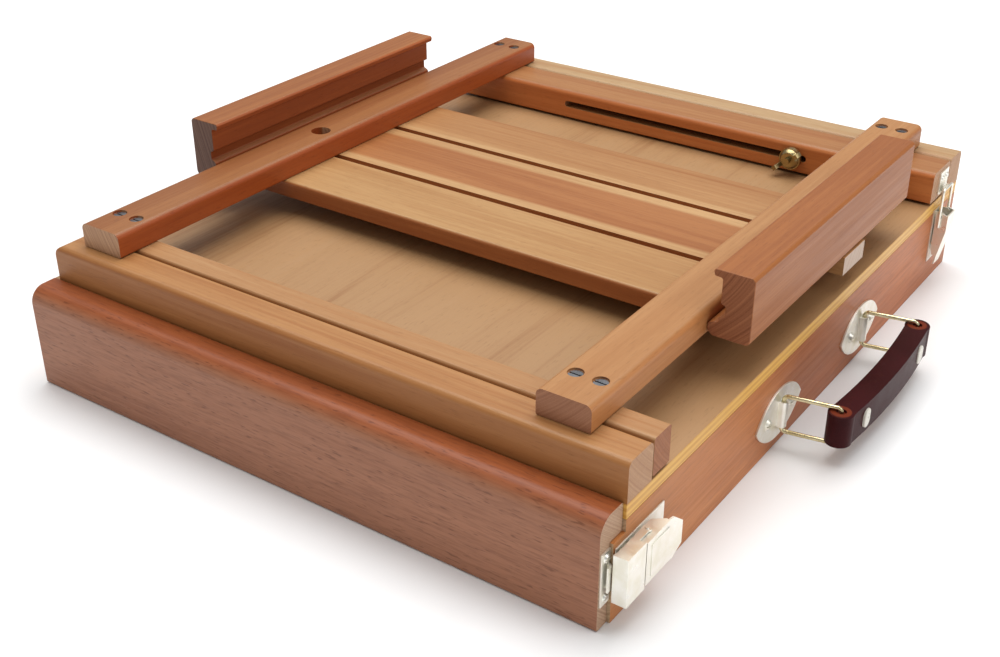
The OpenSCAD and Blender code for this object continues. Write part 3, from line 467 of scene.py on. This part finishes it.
WIRES = ("front_bail", "rear_bail")
BRASSES = ("stay", "stay_bolt", "nut_washer", "wing_nut")
PLATES = ("handle_brackets", "bracket_screws", "front_strike", "front_strike_screws", "rear_strike",
          "rear_strike_screws", "front_latch_base", "rear_latch_base", "latch_base_screws",
          "front_latch_lever", "rear_latch_lever", "front_latch_loop", "rear_latch_loop")
STEELS = ("rail_screws", "slide_screws", "hinge_screws", "stay_pin", "latch_hinge_pins")
give(WIRES, metal("pale_brass", (0.78, 0.70, 0.46), 0.22, (0.60, 0.50, 0.26)))
give(BRASSES, metal("aged_brass", (0.44, 0.35, 0.18), 0.26, (0.32, 0.25, 0.12), 7.0))
give(PLATES, metal("bright_plate", (0.93, 0.91, 0.84), 0.34, (0.87, 0.84, 0.73), 3.0,
                   scratch=0.04, metallic=0.88))
give(STEELS, metal("zinc_steel", (0.30, 0.31, 0.33), 0.34, (0.20, 0.20, 0.21), 5.0))

LEG_INSET = 1.375 * MM          # from a bail's outer corner to the middle of its leg in the grip
RAW_RING = 5.0 * MM             # raw edge of the hide around each leg
grip_ends = [(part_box(key)[1].x - LEG_INSET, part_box(key)[1].y - LEG_INSET) for key in WIRES]
give(["grip"], leather("grip_hide", (0.036, 0.0035, 0.0045), (0.054, 0.006, 0.008),
                       (0.17, 0.030, 0.012), grip_ends, RAW_RING))
give(["grip_rivets"], enamel("cream_rivet", (0.78, 0.74, 0.64), 0.3, 0.4))

for key in ("front_latch_lever", "rear_latch_lever", "handle_brackets", "front_strike",
            "rear_strike", "front_latch_base", "rear_latch_base", "front_latch_loop", "wing_nut",
            "stay", "nut_washer"):
    soften(key, PLATE_EASE, 2)
soften("grip", GRIP_EASE, 5)
soften("grip_rivets", RIVET_EASE)


# ---------- stage, light, camera ----------
def place(name, data, location, towards):
    """A light or camera at a place, turned to look along a direction."""
    o = bpy.data.objects.new(name, data)
    bpy.context.scene.collection.objects.link(o)
    o.location = location
    o.rotation_euler = towards.to_track_quat("-Z", "Y").to_euler()
    return o


def area(name, location, target, size, power):
    lamp = bpy.data.lights.new(name, "AREA")
    lamp.shape = "RECTANGLE"
    lamp.size, lamp.size_y = size
    lamp.energy = power
    place(name, lamp, location, Vector(target) - Vector(location))


FLOOR_HALF = 6.0
mesh = bpy.data.meshes.new("floor")
mesh.from_pydata([(-FLOOR_HALF, -FLOOR_HALF, 0), (FLOOR_HALF, -FLOOR_HALF, 0),
                  (FLOOR_HALF, FLOOR_HALF, 0), (-FLOOR_HALF, FLOOR_HALF, 0)], [], [(0, 1, 2, 3)])
mesh.materials.append(paper("pale_floor", (0.90, 0.90, 0.90), (0.93, 0.93, 0.93)))
floor = bpy.data.objects.new("floor", mesh)
bpy.context.scene.collection.objects.link(floor)
floor.location.z = -0.2 * MM

world = bpy.data.worlds.new("studio")
world.use_nodes = True
background = world.node_tree.nodes["Background"]
background.inputs["Color"].default_value = (1.0, 1.0, 1.0, 1)
background.inputs["Strength"].default_value = 0.36
bpy.context.scene.world = world

area("top_soft", (-0.25, 0.45, 2.2), (0, 0.1, 0.0), (2.6, 2.1), 66)
area("key_side", (1.6, 0.3, 1.2), (0, 0, 0.05), (1.0, 0.8), 7)

# metres from the floor corner at the drawer front's hinge end to the camera, and where it looks
CAMERA_OFFSET = (0.5772, -0.3849, 0.3983)
CAMERA_LOOK = (-0.4957, 0.7155, -0.4923)
corner = Vector((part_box("side_hinge_end")[0].x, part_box("drawer_front")[0].y, 0.0))
lens = bpy.data.cameras.new("camera")
lens.sensor_width = 36.0
lens.lens = 49.0
lens.shift_x = -0.004
lens.clip_start = 0.01
bpy.context.scene.camera = place("camera", lens, corner + Vector(CAMERA_OFFSET), Vector(CAMERA_LOOK))
bpy.context.scene.view_settings.view_transform = "Standard"
